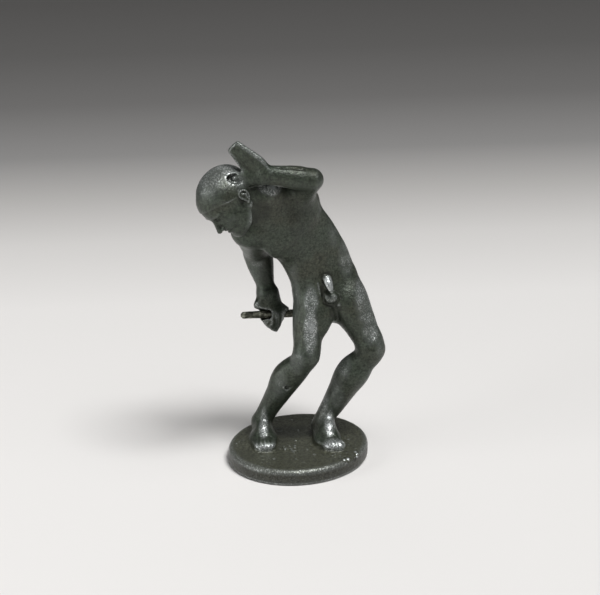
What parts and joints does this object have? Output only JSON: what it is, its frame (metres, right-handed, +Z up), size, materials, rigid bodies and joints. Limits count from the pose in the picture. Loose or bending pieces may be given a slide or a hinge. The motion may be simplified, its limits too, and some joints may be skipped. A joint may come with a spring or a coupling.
{
  "type": "athlete statuette",
  "caption": "Small solid-cast statuette of a nude youth with one arm bent over his bowed head, standing on an oval plate, with a thin rod through the lowered fist.",
  "frame": {"origin": "middle of the oval plate's underside", "axes": "+Z up; +Y away from the viewer who faces the figure's open left side; +X to that viewer's right"},
  "size_m": [0.0507, 0.0406, 0.0939],
  "materials": {
    "dark_bronze": null,
    "corroded_rod": null
  },
  "bodies": {
    "root": {"figure_with_base": "dark_bronze", "rod": "corroded_rod"}
  },
  "joints": []
}
